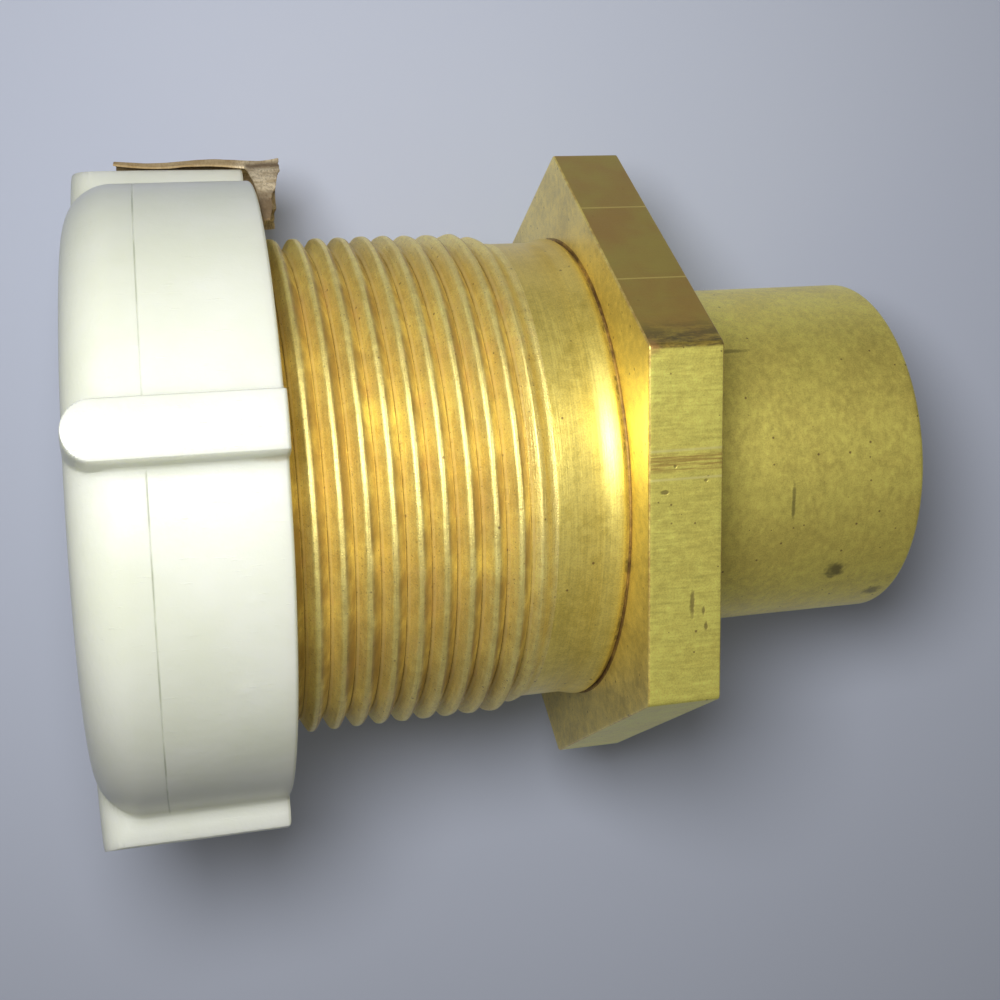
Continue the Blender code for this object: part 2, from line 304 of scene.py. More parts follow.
def body_profile():
    corners = [math.tau * (i + 0.5) / 6 for i in range(6)]
    offsets = [math.radians(step) for step in (-0.6, -0.4, -0.2, 0.2, 0.4, 0.6)]
    profile = Profile(columns_near(corners, offsets))
    root = THREAD_RADIUS - THREAD_DEPTH

    x, r, offset = thread_points(
        profile.turns, MOUTH_X, THREAD_END, THREAD_RADIUS, root, CREST_WIDTH)
    worn = 0.03 * waves(x * 0.6, profile.angle * 2, 3) * smooth_step(0.7, 0.2, np.abs(offset))
    burr = BURR * np.exp(-((offset + 0.3) / 0.08) ** 2)
    r = smooth_min(r + worn + burr, MOUTH_RADIUS + x - MOUTH_X, 0.2)
    full = np.minimum(1.0, (THREAD_END - x) / RUNOUT)
    profile.add(MOUTH_X, MOUTH_RADIUS, "thread")
    profile.add(x, SHANK_RADIUS + (r - SHANK_RADIUS) * full, "thread")

    collar_end = -UNDERCUT
    collar_start = collar_end - COLLAR_LENGTH
    collar_radius = SHANK_RADIUS + COLLAR_RISE
    profile.line((THREAD_END, SHANK_RADIUS), (collar_start, SHANK_RADIUS), 8, "turned")
    share = np.linspace(0.0, 1.0, 14)
    swell = SHANK_RADIUS + COLLAR_RISE * smooth_step(0.0, 0.85, share)
    swell = swell - COLLAR_RISE * 0.8 * smooth_step(0.72, 1.0, share) ** 2
    profile.add(collar_start + COLLAR_LENGTH * share, swell, "turned")
    groove_radius = SHANK_RADIUS - UNDERCUT_DEPTH
    profile.line((collar_end, groove_radius), (FACE_RELIEF, groove_radius), 2, "groove")
    profile.add(FACE_RELIEF, groove_radius, "groove")
    profile.add(FACE_RELIEF * 0.9, collar_radius + FACE_RELIEF * 0.8, "groove")

    side = hex_radius(profile.angle)
    face_start = collar_radius + FACE_RELIEF
    edge = HEX_EDGE
    share = np.linspace(0.0, 1.0, 12)
    profile.add(0.0 * share, face_start + (side - edge - face_start) * share, "face")
    rounding = [(edge * (1 - math.cos(a)), edge * (1 - math.sin(a)))
                for a in (math.radians(22.5), math.radians(45.0), math.radians(67.5))]
    for inwards, down in rounding:
        profile.add(inwards, side - down, "edge")
    profile.add(np.linspace(edge, HEX_THICKNESS - edge, 20), side, "hexagon")
    for inwards, down in reversed(rounding):
        profile.add(HEX_THICKNESS - inwards, side - down, "edge")
    fillet = SPIGOT_FILLET
    share = np.linspace(0.0, 1.0, 10)
    face_end = SPIGOT_RADIUS + fillet
    profile.add(HEX_THICKNESS + 0 * share, side - edge + (face_end - side + edge) * share, "face")

    profile.arc(HEX_THICKNESS + fillet, SPIGOT_RADIUS + fillet, fillet, 180, 270, 4, "spigot")
    lip = SPIGOT_LIP
    profile.line((HEX_THICKNESS + 2 * fillet, SPIGOT_RADIUS), (TIP_X - lip, SPIGOT_RADIUS),
                 40, "spigot")
    profile.arc(TIP_X - lip, SPIGOT_RADIUS - lip, lip, 90, 0, 6, "spigot")
    profile.line((TIP_X, SPIGOT_RADIUS - lip), (TIP_X, SPIGOT_BORE + 0.15), 3, "spigot")
    profile.add(TIP_X - 0.15, SPIGOT_BORE, "bore")

    profile.line((TIP_X - 1.0, SPIGOT_BORE), (BORE_END + BORE_STEP, SPIGOT_BORE), 12, "bore")
    profile.line((BORE_END + BORE_STEP, SPIGOT_BORE), (BORE_END, BARREL_BORE), 4, "bore")
    profile.line((BORE_END, BARREL_BORE), (MOUTH_X + SEAT_LENGTH, BARREL_BORE), 16, "bore")
    profile.line((MOUTH_X + SEAT_LENGTH, BARREL_BORE), (MOUTH_X, SEAT_RADIUS), 4, "bore")
    profile.add(MOUTH_X, SEAT_RADIUS, "bore")
    return profile


def pit(x, r, angle, at_x, at_angle, size_x, size_round, depth):
    """A small dent, size_x long and size_round wide round the axis, as a change of radius.

    at_angle is in degrees, and a negative depth makes a bump.
    """
    round_off = (angle - math.radians(at_angle) + math.pi) % math.tau - math.pi
    away = ((x - at_x) / size_x) ** 2 + (round_off * r / size_round) ** 2
    return -depth * np.exp(-away * 2.0)


def body_wear(x, r, angle):
    """Low dents and pits on the hexagon, the shank and the spigot."""
    rng = random.Random(11)
    shift = np.zeros(x.shape)
    on_hexagon = (x > 0.3) & (x < HEX_THICKNESS - 0.3) & (r > APOTHEM - 0.5)
    on_shank = (x > THREAD_END) & (x < -COLLAR_LENGTH - 0.2) & (r > SHANK_RADIUS - 0.05)
    on_spigot = (x > HEX_THICKNESS + 1) & (x < TIP_X - 1) & (r > SPIGOT_RADIUS - 0.05)
    for _ in range(34):
        shift += on_hexagon * pit(x, r, angle, rng.uniform(0.6, 6.2), rng.uniform(0, 360),
                                  rng.uniform(0.3, 0.7), rng.uniform(0.4, 1.0),
                                  rng.uniform(0.01, 0.035))
    for _ in range(10):
        shift += on_shank * pit(x, r, angle, rng.uniform(-6.2, -3.4), rng.uniform(0, 360),
                                0.3, 0.4, rng.uniform(0.01, 0.03))
    for _ in range(12):
        shift += on_spigot * pit(x, r, angle, rng.uniform(9, 31), rng.uniform(0, 360),
                                 rng.uniform(0.5, 0.9), rng.uniform(0.5, 1.0),
                                 rng.uniform(0.01, 0.025))
    return shift


# Slip nut -----------------------------------------------------------------------------------------

def rib_side(angle):
    """Distance round the nut from the nearest rib's middle."""
    spacing = math.tau / RIBS
    return ((angle - RIB_ANGLE + spacing / 2) % spacing - spacing / 2) * NUT_RADIUS


def rib_rise(x, r, angle):
    """How far the wing ribs lift the nut's outer skin, rounded in plan at the closed end."""
    half = RIB_WIDTH / 2
    side = np.abs(rib_side(angle))
    past = np.maximum(NUT_LEFT + half - x, 0.0)
    inside = half - np.hypot(side, past)
    crown = RIB_CROWN * (1 - np.sqrt(np.clip(1 - (side / (half * 1.05)) ** 2, 0, 1)))
    lift = (RIB_RADIUS - r - crown) * smooth_step(-0.15, 0.42, inside)
    foot = 0.5 * np.exp(-np.maximum(-inside, 0.0) / 0.6)
    return smooth_max(lift, foot * smooth_step(NUT_LEFT + 1.0, NUT_LEFT + 4.0, x), 0.3)


def nut_profile():
    wall = np.linspace(-3.4, 3.4, 50) / NUT_RADIUS
    profile = Profile(columns_near([RIB_ANGLE + math.tau * i / RIBS for i in range(RIBS)], wall))
    thread_start = NUT_LEFT + NUT_LIP + NUT_RELIEF_LENGTH
    root = THREAD_RADIUS + NUT_CLEARANCE
    crest = root - THREAD_DEPTH
    mouth = root + NUT_CHAMFER
    relief = root + NUT_RELIEF

    share = np.linspace(0.0, 1.0, 52) ** 1.3
    curve = math.pi * (1.0 - share / 2)
    shoulder_x = NUT_LEFT + NUT_SHOULDER + NUT_SHOULDER * np.cos(curve)
    shoulder_r = NUT_RADIUS - NUT_SHOULDER + NUT_SHOULDER * np.sin(curve)
    side_x = np.sort(np.concatenate((
        np.linspace(NUT_LEFT + NUT_SHOULDER + 0.5, NUT_RIM - 0.35, 24),
        PARTING_X + np.array([-0.09, -0.045, 0.0, 0.045, 0.09]))))
    outer_x = np.concatenate((shoulder_x, side_x))
    outer_r = np.concatenate((shoulder_r, np.full(len(side_x), NUT_RADIUS)))
    outer_r = np.broadcast_to(outer_r, (len(profile.turns), len(outer_r)))
    rise = rib_rise(outer_x, outer_r, profile.angle)
    groove = PARTING_DEPTH * np.exp(-((outer_x - PARTING_X) / 0.04) ** 2)
    profile.add(outer_x, outer_r + rise - groove * smooth_step(0.6, 0.1, rise), "nut")
    rim_radius = NUT_RADIUS + rise[:, -1:]
    edge = NUT_EDGE
    for turned in (20.0, 45.0, 70.0):
        a = math.radians(turned)
        profile.add(NUT_RIM - edge * (1 - math.sin(a)), rim_radius - edge * (1 - math.cos(a)),
                    "nut")
    share = np.linspace(0.0, 1.0, 7)
    face_start = rim_radius - edge
    profile.add(NUT_RIM + 0 * share, face_start + (mouth - face_start) * share, "nut")

    # The crest is less than the root here, so the bore comes out plain at the root's radius: the
    # nut's inner thread is missing from this piece.
    x, r, _ = thread_points(
        profile.turns + 0.5, thread_start, NUT_RIM, crest, root, NUT_CREST_WIDTH)
    r = np.maximum(np.maximum(r, mouth - (NUT_RIM - x)), relief - (x - thread_start))
    profile.add(x[:, ::-3], r[:, ::-3], "nut")
    profile.add(thread_start, relief, "nut")
    profile.add(NUT_LEFT + NUT_LIP, relief, "nut")
    profile.line((NUT_LEFT + NUT_LIP, NUT_OPENING + 0.2), (NUT_LEFT + edge, NUT_OPENING), 4, "nut")
    profile.add(NUT_LEFT, NUT_OPENING + edge, "nut")
    return profile


def nut_wear(x, r, angle):
    """The moulding's slight waviness and shrinkage on the outside, and two small blisters."""
    outside = r > NUT_RADIUS - NUT_SHOULDER
    blisters = sum(pit(x, r, angle, at_x, at_angle, 0.55, 0.5, -BLISTER_RISE)
                   for at_x, at_angle in BLISTERS)
    return outside * (0.03 * waves(x * 0.25, angle, 8, count=10) + blisters)


# Tape ---------------------------------------------------------------------------------------------

def tape_stations():
    """The tape's angle from the rib's middle, radius, near x and far x, from the tail's tip."""
    on_rib = RIB_RADIUS + RIB_GAP
    half = RIB_WIDTH / 2
    shoulder = math.atan2(half, on_rib)
    near = NUT_RIM + RIB_GAP
    stations = []
    for share in (1.0, 0.85, 0.7, 0.55, 0.4, 0.25, 0.1, 0.04):
        angle = -shoulder - (TAPE_TAIL - shoulder) * share
        width = (TAPE_OVERHANG - RIB_GAP) * (1 - share) + TAPE_TAIL_TIP * share
        stations.append((angle, on_rib - TAPE_TAIL_DROP * math.sqrt(share), near, near + width))
    start = NUT_LEFT + TAPE_INSET
    end = NUT_RIM + TAPE_OVERHANG
    low = on_rib - 0.5
    for side, height in ((-half, low), (0.5 - half, on_rib), (0.0, on_rib),
                         (half - 0.5, on_rib), (half + RIB_GAP, low)):
        stations.append((math.atan2(side, height), math.hypot(side, height), start, end))
    on_nut = NUT_RADIUS + RIB_GAP
    for side in (half + 1.0, half + 3.0, half + TAPE_SPREAD):
        stations.append((math.asin(side / on_nut), on_nut, start, end))
    return np.array(stations).T


def tape_sheet():
    """Both skins of the creped paper, as (rows along the scrap, columns across it, xyz)."""
    rows, columns = 150, 40
    stations = tape_stations()
    along = np.linspace(0, stations.shape[1] - 1, rows)
    angle, radius, near, far = (
        np.interp(along, range(stations.shape[1]), row)[:, None] for row in stations)
    across = np.linspace(0.0, 1.0, columns)
    torn = waves(angle * 26, 0 * angle, 21, count=9)
    fray = waves(angle * 110, 0 * angle, 22, count=9)
    hanging = smooth_step(-0.09, -0.14, angle)
    near = near + (0.45 * torn + 0.1 * fray) * (1 - hanging)
    far = far + (0.16 * torn + 0.07 * fray) * (1 - 0.5 * hanging)
    x = near + (far - near) * across
    turn = np.broadcast_to(angle, x.shape)
    past = np.clip((x - NUT_RIM) / TAPE_OVERHANG, 0.0, 1.2)
    lift = 0.3 * past ** 2 * smooth_step(-0.35, -0.05, turn)
    lift = lift + 0.16 * (1 + np.sin(x * 0.55 + 1.0)) * smooth_step(-0.2, -0.1, turn)
    loose = smooth_step(0.02, 0.12, turn) + smooth_step(0.0, 0.5, past)
    crumple = 0.06 * np.abs(waves(x * 1.3, turn * 9, 23, count=12)) * (0.5 + loose)
    r = radius + lift + crumple + 0.05
    skins = []
    place = TAPE_ANGLE + turn
    for skin_r in (r + TAPE_THICKNESS, r):
        skins.append(np.stack((x, skin_r * np.sin(place), skin_r * np.cos(place)), axis=-1))
    return skins


def sheet(name, skins, finish):
    """A thin closed body between an outer and an inner skin."""
    rows, columns = skins[0].shape[:2]
    index = np.arange(rows * columns * 2).reshape(2, rows, columns)
    faces = []
    for layer in index:
        corners = (layer[:-1, :-1], layer[1:, :-1], layer[1:, 1:], layer[:-1, 1:])
        faces.append(np.stack(corners, axis=-1))
    edges = [index[:, 0, :], index[:, -1, :], index[:, :, 0], index[:, :, -1]]
    for outer, inner in edges:
        faces.append(np.stack((outer[:-1], outer[1:], inner[1:], inner[:-1]), axis=-1))
    faces = np.concatenate([part.reshape(-1, 4) for part in faces])
    mesh = bpy.data.meshes.new(name)
    mesh.from_pydata((np.stack(skins).reshape(-1, 3) * MM).tolist(), [], faces.tolist())
    mesh.materials.append(finish)
    return finish_mesh(name, mesh, sharp=50)


# Washer -------------------------------------------------------------------------------------------

def washer_profile():
    profile = Profile(np.linspace(0.0, 1.0, 181))
    back = washer_x.min()
    tip = washer_x.max()
    bore = washer_r.min()
    rim = washer_r.max()
    flange_end = MOUTH_X - WASHER_GAP
    nose = SEAT_RADIUS - 0.36
    edge = WASHER_EDGE
    tip_radius = washer_r[washer_x > tip - 0.01].max()
    profile.arc(back + edge, bore + edge, edge, 270, 180, 4, "washer")
    profile.arc(back + edge, rim - edge, edge, 180, 90, 4, "washer")
    profile.line((flange_end, rim), (flange_end, nose), 3, "washer")
    profile.line((flange_end, nose), (tip, tip_radius), 8, "washer")
    profile.line((tip, tip_radius), (tip, bore), 2, "washer")
    profile.line((tip, bore), (back + 2 * edge, bore), 8, "washer")
    return profile


# Finishes -----------------------------------------------------------------------------------------

class Finish:
    """A material's node tree, with a short call for each kind of node.

    place, x, y, z and radius are the surface point's position in the fitting's frame, in mm.
    """

    def __init__(self, name, **sockets):
        self.material = bpy.data.materials.new(name)
        self.material.use_nodes = True
        self.tree = self.material.node_tree
        self.shader = self.tree.nodes["Principled BSDF"]
        for socket, value in sockets.items():
            self.shader.inputs[socket.replace("_", " ")].default_value = value
        coordinates = self.node("ShaderNodeTexCoord")
        fitting = self.node("ShaderNodeMapping", Vector=coordinates.outputs["Object"],
                            Location=LYING.translation, Rotation=LYING.to_euler(),
                            Scale=(MM, MM, MM))
        fitting.vector_type = "TEXTURE"
        self.place = fitting.outputs[0]
        self.x, self.y, self.z = self.node("ShaderNodeSeparateXYZ", Vector=self.place).outputs
        flat = self.node("ShaderNodeCombineXYZ", Y=self.y, Z=self.z).outputs[0]
        self.radius = self.vector("LENGTH", flat, output="Value")

    def node(self, kind, **inputs):
        node = self.tree.nodes.new(kind)
        for name, value in inputs.items():
            self.feed(node.inputs[name.replace("_", " ")], value)
        return node

    def feed(self, socket, value):
        if isinstance(value, bpy.types.NodeSocket):
            self.tree.links.new(value, socket)
        elif isinstance(value, tuple) and len(value) == 3 and socket.type == "RGBA":
            socket.default_value = (*value, 1.0)
        else:
            socket.default_value = value

    def vector(self, operation, first, second=None, scale=None, output="Vector"):
        node = self.tree.nodes.new("ShaderNodeVectorMath")
        node.operation = operation
        self.feed(node.inputs[0], first)
        if second is not None:
            self.feed(node.inputs[1], second)
        if scale is not None:
            node.inputs["Scale"].default_value = scale
        return node.outputs[output]

    def math(self, operation, first, second=0.0):
        node = self.tree.nodes.new("ShaderNodeMath")
        node.operation = operation
        self.feed(node.inputs[0], first)
        self.feed(node.inputs[1], second)
        return node.outputs[0]

    def total(self, *values):
        result = values[0]
        for value in values[1:]:
            result = self.math("ADD", result, value)
        return result

    def product(self, *values):
        result = values[0]
        for value in values[1:]:
            result = self.math("MULTIPLY", result, value)
        return result

    def noise(self, stretch, detail=3.0, roughness=0.55):
        """Noise with the given number of cells to a millimetre along X, Y and Z."""
        placed = self.vector("MULTIPLY", self.place, stretch)
        return self.node("ShaderNodeTexNoise", Vector=placed, Scale=1.0, Detail=detail,
                         Roughness=roughness).outputs["Fac"]

    def spots(self, cells, size):
        """Scattered round spots: 1 inside, 0 outside. cells is their number to a millimetre."""
        placed = self.vector("SCALE", self.place, scale=cells)
        found = self.node("ShaderNodeTexVoronoi", Vector=placed, Scale=1.0)
        chance = self.node("ShaderNodeSeparateColor", Color=found.outputs["Color"]).outputs[0]
        reach = self.product(self.between(chance, 0.45, 1.0), size)
        return self.between(found.outputs["Distance"], reach, self.product(reach, 0.4))

    def between(self, value, low, high):
        """0 at low and 1 at high, smooth between; low may be the larger."""
        node = self.node("ShaderNodeMapRange", Value=value, From_Min=low, From_Max=high)
        node.interpolation_type = "SMOOTHSTEP"
        return node.outputs["Result"]

    def near(self, value, middle, reach):
        """1 where value is at middle, 0 from reach away."""
        return self.between(self.math("ABSOLUTE", self.math("SUBTRACT", value, middle)), reach, 0.0)

    def blot(self, x, across, at_x, at_across, size_x, size_across):
        """An uneven mark: 1 in its middle and 0 outside, with ragged edges."""
        off_x = self.math("DIVIDE", self.math("SUBTRACT", x, at_x), size_x)
        off_across = self.math("DIVIDE", self.math("SUBTRACT", across, at_across), size_across)
        placed = self.node("ShaderNodeCombineXYZ", X=off_x, Y=off_across)
        away = self.vector("LENGTH", placed.outputs[0], output="Value")
        ragged = self.total(away, self.product(self.noise((1.4, 1.4, 1.4), detail=4.0), 1.1), -0.55)
        return self.between(ragged, 1.0, 0.35)

    def mix(self, share, first, second, blend="MIX"):
        node = self.tree.nodes.new("ShaderNodeMix")
        node.data_type = "RGBA"
        node.blend_type = blend
        self.feed(node.inputs[0], share)
        self.feed(node.inputs[6], first)
        self.feed(node.inputs[7], second)
        return node.outputs[2]

    def bump(self, height, distance):
        """distance is how far in millimetres the surface rises as height goes from 0 to 1."""
        node = self.node("ShaderNodeBump", Height=height, Strength=1.0, Distance=distance * MM)
        return node.outputs["Normal"]

    def finish(self, colour, roughness, normal):
        self.feed(self.shader.inputs["Base Color"], colour)
        self.feed(self.shader.inputs["Roughness"], roughness)
        self.feed(self.shader.inputs["Normal"], normal)
        return self.material


GOLD = (0.88, 0.62, 0.12)
PALE_GOLD = (0.95, 0.78, 0.20)
BRONZE = (0.56, 0.36, 0.09)
BROWN = (0.24, 0.14, 0.05)
COPPER = (0.62, 0.30, 0.13)
DARK_STAIN = (0.10, 0.08, 0.035)


class Brass(Finish):
    """Machined brass, which a function below may stain, dull or dent further before done().

    grain is the number of tool marks to a millimetre along X, Y and Z. dulled is how much of the
    surface goes from gold to dull, and relief is the depth of the marks in millimetres.
    """

    def __init__(self, name, grain, gold, dull, dulled, roughness, relief):
        super().__init__(name, Metallic=0.80, Coat_Weight=0.35, Coat_Roughness=0.36)
        self.relief = relief
        marks = self.noise(grain, detail=5.0, roughness=0.62)
        patches = self.noise((0.15, 0.15, 0.15), detail=5.0, roughness=0.6)
        mottle = self.noise((1.2, 1.2, 1.2), detail=5.0, roughness=0.7)
        fine = self.noise((7.0, 7.0, 7.0), detail=2.0, roughness=0.6)
        cloudy = self.total(self.product(patches, 0.62), self.product(mottle, 0.38))
        spread = self.between(cloudy, 0.30 + 0.2 * dulled, 0.56 + 0.2 * dulled)
        self.colour = self.mix(spread, dull, gold)
        shade = self.total(0.50, self.product(marks, 0.45), self.product(fine, 0.58))
        shades = self.node("ShaderNodeCombineColor", Red=shade, Green=shade, Blue=shade).outputs[0]
        self.colour = self.mix(1.0, self.colour, shades, "MULTIPLY")
        self.stain(self.product(self.spots(0.9, 0.16), 0.8), BROWN)
        self.rough = self.total(roughness - 0.18, self.product(marks, 0.2),
                                self.product(mottle, 0.16))
        self.height = self.total(marks, self.product(fine, 0.9))

    def stain(self, share, tint):
        self.colour = self.mix(share, self.colour, tint)

    def done(self):
        return self.finish(self.colour, self.rough, self.bump(self.height, self.relief))


def thread_brass():
    """phase is 0 and 1 at neighbouring crests, and 0.5 in the groove between them."""
    made = Brass("thread_brass", (8.0, 0.3, 0.3), (0.98, 0.84, 0.29), (0.82, 0.65, 0.20),
                 0.4, 0.48, 0.055)
    turn = made.math("DIVIDE", made.math("ARCTAN2", made.y, made.z), math.tau)
    pitches = made.math("DIVIDE", made.math("SUBTRACT", made.x, CREST_AT), PITCH)
    phase = made.math("FRACT", made.total(pitches, turn, 40.0))
    cut = made.between(made.x, THREAD_END - 0.6, THREAD_END - RUNOUT)
    uneven = made.between(made.noise((0.22, 0.22, 0.22), detail=3.0), 0.25, 0.62)
    # Painted shade plus some brown grime on the flank that faces away from the light, from just past each crest to
    # the root; the grime tint below carries both.
    flank_shade_and_grime = made.product(made.between(phase, 0.01, 0.08), made.between(phase, 0.47, 0.42), cut)
    grime = made.mix(made.noise((0.9, 0.9, 0.9)), BROWN, BRONZE)
    made.stain(made.product(flank_shade_and_grime, uneven, 0.8), grime)
    # Painted shade: a narrow brown line along each thread root, where the groove is deepest.
    root = made.product(made.near(phase, 0.49, 0.05), cut)
    made.stain(made.product(root, 0.6), BROWN)
    # Painted highlight: a pale line on the flank just past each root, where the roughness is also lowered.
    root_highlight = made.product(made.near(phase, 0.57, 0.06), cut)
    made.stain(made.product(root_highlight, 0.8), (1.0, 0.86, 0.42))
    reddish = made.between(made.noise((0.3, 0.3, 0.3), detail=4.0, roughness=0.7), 0.52, 0.70)
    made.stain(made.product(reddish, 0.22), COPPER)
    specks = made.spots(3.0, 0.3)
    made.stain(made.product(specks, 0.5), BROWN)
    made.rough = made.total(made.rough, made.product(flank_shade_and_grime, 0.12),
                            made.product(root_highlight, -0.12))
    return made.done()


def plain_brass(*settings):
    return Brass(*settings).done()


def turned_brass():
    """The shank: lathe lines by the thread, darker above, a bead of grime beside the flange."""
    made = Brass("turned_brass", (7.0, 0.15, 0.15), PALE_GOLD, (0.78, 0.62, 0.13),
                 0.2, 0.42, 0.012)
    lines = made.product(made.noise((16.0, 0.1, 0.1), detail=2.0),
                         made.between(made.x, -4.6, -6.2))
    made.height = made.total(made.height, made.product(lines, 1.6))
    made.stain(made.product(made.between(made.y, 15.0, 24.0), 0.45), BRONZE)
    beads = made.product(made.near(made.x, -0.3, 0.3),
                         made.between(made.noise((2.0, 1.1, 1.1)), 0.52, 0.66))
    made.stain(made.product(beads, 0.55), DARK_STAIN)
    return made.done()


def drawn_brass():
    """The hexagon's sides: drawn along X, two scribe lines above and a scraped band in front."""
    made = Brass("drawn_brass", (0.35, 3.2, 3.2), (0.99, 0.90, 0.21), (0.86, 0.75, 0.17),
                 0.3, 0.45, 0.014)
    up = math.radians(60)
    outwards = (0.0, math.sin(up), math.cos(up))
    sideways = (0.0, math.cos(up), -math.sin(up))
    rise = made.vector("DOT_PRODUCT", made.place, outwards, output="Value")
    along = made.vector("DOT_PRODUCT", made.place, sideways, output="Value")
    below_side, on_side = APOTHEM - 0.35, APOTHEM - 0.15
    upper = made.product(made.between(rise, below_side, on_side),
                         made.between(made.y, 14.0, 15.0))
    front = made.between(made.z, below_side, on_side)
    red = made.between(made.noise((0.12, 0.12, 0.12), detail=3.0), 0.35, 0.65)
    made.stain(made.product(upper, 0.88), made.mix(red, (0.42, 0.30, 0.05), (0.40, 0.21, 0.04)))
    for line in (5.8, -6.1):
        made.stain(made.product(upper, made.near(along, line, 0.16), 0.6), PALE_GOLD)
    blotches = made.noise((0.5, 1.6, 1.6), detail=6.0, roughness=0.75)
    smear = made.product(upper, made.between(along, -11.5, -15.5),
                         made.between(blotches, 0.38, 0.62))
    made.stain(made.product(smear, 0.8), DARK_STAIN)
    for line in (6.8, 4.3):
        made.stain(made.product(front, made.near(made.y, line, 0.2), 0.9), (1.0, 0.90, 0.32))
    scraped = made.product(made.between(made.y, 4.7, 5.2), made.between(made.y, 6.7, 6.3),
                           front)
    streaks = made.between(made.noise((0.2, 5.0, 5.0), detail=4.0, roughness=0.7), 0.36, 0.6)
    made.stain(made.product(scraped, streaks, 0.85), BRONZE)
    made.height = made.total(made.height, made.product(scraped, streaks, -0.5))
    dents = ((4.05, -6.9, 0.32, 1.5), (5.1, -7.6, 0.2, 0.5), (5.35, -9.0, 0.22, 0.6),
             (1.5, 3.2, 0.5, 0.22), (2.4, 5.4, 0.22, 0.2), (5.2, 4.0, 0.25, 0.2))
    for at_x, at_y, size_x, size_y in dents:
        dent = made.product(made.blot(made.x, made.y, at_x, at_y, size_x, size_y), front)
        made.stain(made.product(dent, 0.75), (0.30, 0.23, 0.07))
        made.height = made.total(made.height, made.product(dent, -2.0))
    corner = made.blot(made.x, made.y, 0.4, 15.7, 0.9, 0.9)
    made.stain(made.product(corner, 0.45), COPPER)
    return made.done()


def spigot_brass():
    """A scratch, two smudges and a short dark line on the spigot's +Z side."""
    made = Brass("spigot_brass", (1.6, 1.0, 1.0), (0.96, 0.83, 0.19), (0.83, 0.69, 0.16),
                 0.3, 0.46, 0.006)
    front = made.between(made.z, 2.0, 5.0)
    marks = ((18.5, -1.4, 0.28, 2.3, 0.6), (24.5, -9.4, 1.5, 1.2, 0.75),
             (30.2, -12.9, 1.2, 0.8, 0.6), (14.2, 12.7, 2.2, 0.22, 0.5))
    for at_x, at_y, size_x, size_y, strength in marks:
        mark = made.product(made.blot(made.x, made.y, at_x, at_y, size_x, size_y), front,
                            strength)
        made.stain(mark, DARK_STAIN)
    return made.done()


def white_plastic():
    """The nut's: a dark parting line and rim, a brownish strip along the front rib's lower edge that is partly
    grime and partly painted shadow, scuffs and specks.
    """
    made = Finish("moulded_polyethylene", Subsurface_Weight=0.60, Subsurface_Scale=0.004,
                  Subsurface_Radius=(1.0, 1.0, 0.75), IOR=1.5)
    clouds = made.noise((0.10, 0.10, 0.10), detail=3.0)
    colour = made.mix(made.between(clouds, 0.3, 0.7), (0.62, 0.64, 0.535),
                      (0.655, 0.67, 0.595))
    outside = made.between(made.radius, NUT_RADIUS - 1.0, NUT_RADIUS - 0.5)
    below_rib = made.between(made.radius, NUT_RADIUS + 0.4, NUT_RADIUS + 0.2)
    seam = made.product(made.near(made.x, PARTING_X, 0.13), outside, below_rib)
    faded = made.between(made.noise((0.0, 0.14, 0.14)), 0.35, 0.6)
    seam_share = made.product(seam, made.total(0.1, made.product(faded, 0.5)))
    colour = made.mix(seam_share, colour, (0.20, 0.23, 0.14))
    rim = made.product(made.near(made.x, NUT_RIM - 0.12, 0.22), outside)
    colour = made.mix(made.product(rim, 0.35), colour, (0.34, 0.36, 0.20))
    specks = made.spots(0.12, 0.035)
    colour = made.mix(specks, colour, (0.25, 0.23, 0.18))
    # A brownish strip along the front rib's lower edge, on its right part: partly grime, partly the rib's painted
    # shadow.
    grime_and_rib_shadow = made.product(made.blot(made.x, made.y, -30.6, 8.8, 3.2, 0.5),
                         made.between(made.z, 20.0, 24.0))
    colour = made.mix(made.product(grime_and_rib_shadow, 0.35), colour, (0.42, 0.36, 0.18))
    scuffs = made.between(made.noise((0.35, 3.0, 3.0), detail=4.0, roughness=0.7), 0.62, 0.74)
    rough = made.total(0.33, made.product(scuffs, 0.22))
    peel = made.noise((0.9, 0.9, 0.9), detail=4.0, roughness=0.6)
    height = made.total(peel, made.product(scuffs, 0.8))
    return made.finish(colour, rough, made.bump(height, 0.03))


def washer_plastic():
    made = Finish("washer_polyethylene", Subsurface_Weight=0.25, Subsurface_Scale=0.002)
    colour = made.mix(made.noise((0.3, 0.3, 0.3)), (0.56, 0.57, 0.52), (0.64, 0.65, 0.60))
    turned = made.noise((3.0, 0.3, 0.3), detail=3.0)
    rough = made.total(0.38, made.product(turned, 0.2))
    return made.finish(colour, rough, made.bump(turned, 0.01))


